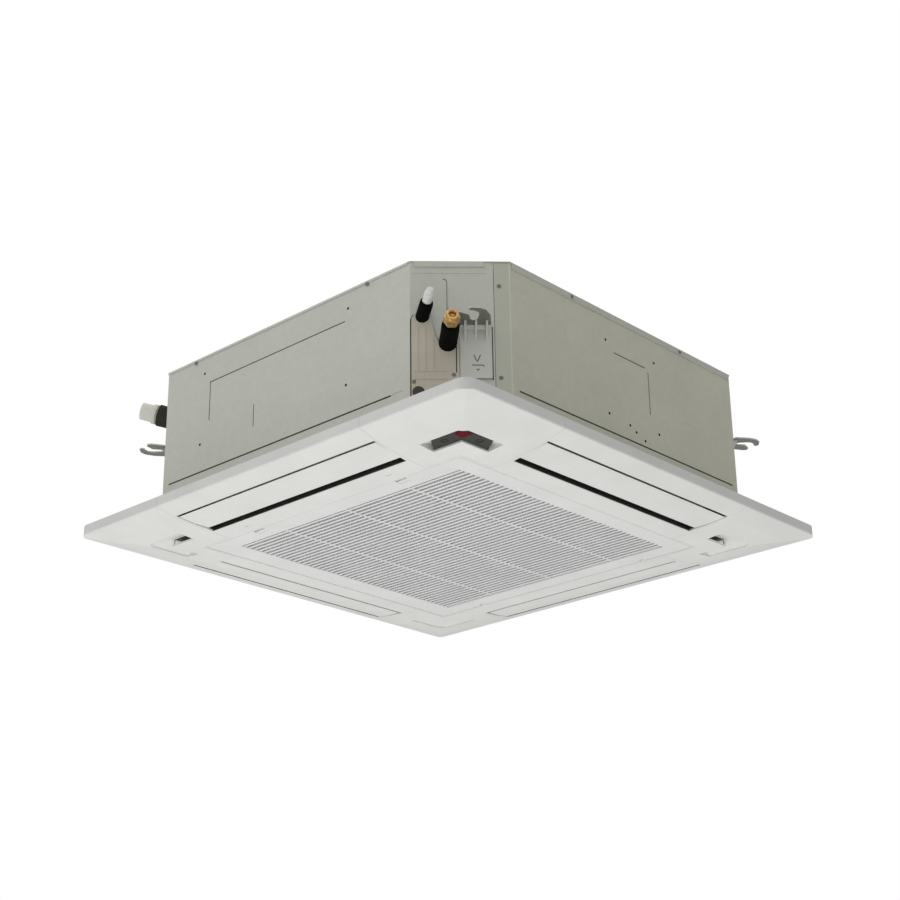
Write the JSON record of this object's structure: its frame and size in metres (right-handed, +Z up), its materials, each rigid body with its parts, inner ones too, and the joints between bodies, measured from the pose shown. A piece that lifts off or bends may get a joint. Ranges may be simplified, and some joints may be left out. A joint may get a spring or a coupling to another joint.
{
  "type": "ceiling cassette air conditioner",
  "caption": "Square ceiling cassette air conditioner: steel casing with hook brackets over a moulded panel with an intake grille and an outlet flap along each side.",
  "frame": {"origin": "under the middle of the unit, level with the lowest face of the intake grille", "axes": "+Z up through the ceiling; -Y towards the front side, +X towards the right side, with the refrigerant pipes at the corner between them"},
  "size_m": [0.95, 0.95, 0.308],
  "materials": {
    "white_panel": "moulded, fine satin grain",
    "grille_plastic": "moulded, satin",
    "filter_net": "woven net in a plastic frame",
    "dark_window": "smoked, smooth",
    "red_lens": "clear red, smooth",
    "green_board": "lacquered circuit board",
    "galvanised_sheet": "galvanised sheet with faint spangle",
    "zinc_steel": "zinc plated pressing",
    "beige_plastic": "moulded, plain",
    "black_foam": "closed-cell foam sleeve",
    "copper": "drawn copper tube",
    "brass": "machined",
    "cap_plastic": "moulded",
    "ivory_pipe": "extruded pipe",
    "dark_rubber": "moulded",
    "white_foam": "expanded bead foam",
    "fin_aluminium": "thin pressed fins",
    "grey_plastic": "moulded",
    "dark_plastic": "moulded, plain",
    "motor_steel": "painted can"
  },
  "bodies": {
    "unit": {"panel_frame": "white_panel", "duct_frame": "dark_plastic", "casing_front": "galvanised_sheet", "casing_right": "galvanised_sheet", "casing_rear": "galvanised_sheet", "casing_left": "galvanised_sheet", "top_plate": "galvanised_sheet", "pipe_cover": "beige_plastic", "gas_pipe": "copper", "gas_insulation": "black_foam", "gas_flare_nut": "brass", "liquid_pipe": "copper", "liquid_insulation": "black_foam", "liquid_cap": "cap_plastic", "drain_socket": "ivory_pipe", "drain_seal": "dark_rubber", "casing_liner": "white_foam", "drain_pan": "white_foam", "heat_exchanger": "fin_aluminium", "bell_mouth": "grey_plastic", "fan_motor": "motor_steel", "control_box": "galvanised_sheet", "control_lid": "galvanised_sheet", "control_board": "green_board", "drain_pump": "cap_plastic", "drain_hose": "dark_rubber", "float_stem": "cap_plastic", "flap_motor_front": "cap_plastic", "flap_motor_right": "cap_plastic", "flap_motor_rear": "cap_plastic", "flap_motor_left": "cap_plastic", "hanger_bracket_front_right": "zinc_steel", "hanger_bracket_rear_right": "zinc_steel", "hanger_bracket_rear_left": "zinc_steel", "hanger_bracket_front_left": "zinc_steel"},
    "fan": {"turbo_fan": "grey_plastic", "fan_shroud": "grey_plastic", "fan_shaft": "zinc_steel", "fan_nut": "zinc_steel"},
    "grille_door": {"intake_grille": "grille_plastic"},
    "filter": {"air_filter": "filter_net"},
    "latch_left": {"grille_latch_left": "white_panel"},
    "latch_right": {"grille_latch_right": "white_panel"},
    "float": {"float_ring": "cap_plastic"},
    "vane_front": {"flap_front": "white_panel"},
    "vane_right": {"flap_right": "white_panel"},
    "vane_rear": {"flap_rear": "white_panel"},
    "vane_left": {"flap_left": "white_panel"},
    "cover_front_right": {"corner_cover_front_right": "white_panel", "receiver_window": "dark_window", "receiver_lens": "red_lens"},
    "cover_rear_right": {"corner_cover_rear_right": "white_panel"},
    "cover_rear_left": {"corner_cover_rear_left": "white_panel"},
    "cover_front_left": {"corner_cover_front_left": "white_panel"}
  },
  "joints": [
    {"name": "vane_front_swing", "type": "hinge", "parent": "unit", "child": "vane_front", "pos_m": [0, -0.388, 0.0117], "axis": [1, 0, 0], "range_deg": [0, 60]},
    {"name": "vane_right_swing", "type": "hinge", "parent": "unit", "child": "vane_right", "pos_m": [0.388, 0, 0.0117], "axis": [0, 1, 0], "range_deg": [0, 60]},
    {"name": "vane_rear_swing", "type": "hinge", "parent": "unit", "child": "vane_rear", "pos_m": [0, 0.388, 0.0117], "axis": [-1, 0, 0], "range_deg": [0, 60]},
    {"name": "vane_left_swing", "type": "hinge", "parent": "unit", "child": "vane_left", "pos_m": [-0.388, 0, 0.0117], "axis": [0, -1, 0], "range_deg": [0, 60]},
    {"name": "grille_swing", "type": "hinge", "parent": "unit", "child": "grille_door", "pos_m": [0, 0.3083, 0.0028], "axis": [1, 0, 0], "range_deg": [0, 90]},
    {"name": "filter_lift", "type": "slide", "parent": "grille_door", "child": "filter", "axis": [0, 0, 1], "range_m": [0, 0.02]},
    {"name": "latch_left_slide", "type": "slide", "parent": "grille_door", "child": "latch_left", "axis": [0, -1, 0], "range_m": [0, 0.0045]},
    {"name": "latch_right_slide", "type": "slide", "parent": "grille_door", "child": "latch_right", "axis": [0, -1, 0], "range_m": [0, 0.0045]},
    {"name": "cover_front_right_drop", "type": "slide", "parent": "unit", "child": "cover_front_right", "axis": [0, 0, -1], "range_m": [0, 0.08]},
    {"name": "cover_rear_right_drop", "type": "slide", "parent": "unit", "child": "cover_rear_right", "axis": [0, 0, -1], "range_m": [0, 0.08]},
    {"name": "cover_rear_left_drop", "type": "slide", "parent": "unit", "child": "cover_rear_left", "axis": [0, 0, -1], "range_m": [0, 0.08]},
    {"name": "cover_front_left_drop", "type": "slide", "parent": "unit", "child": "cover_front_left", "axis": [0, 0, -1], "range_m": [0, 0.08]},
    {"name": "fan_spin", "type": "hinge", "parent": "unit", "child": "fan", "pos_m": [0, 0, 0.2], "axis": [0, 0, 1], "continuous": true},
    {"name": "float_rise", "type": "slide", "parent": "unit", "child": "float", "axis": [0, 0, 1], "range_m": [0, 0.018]}
  ]
}
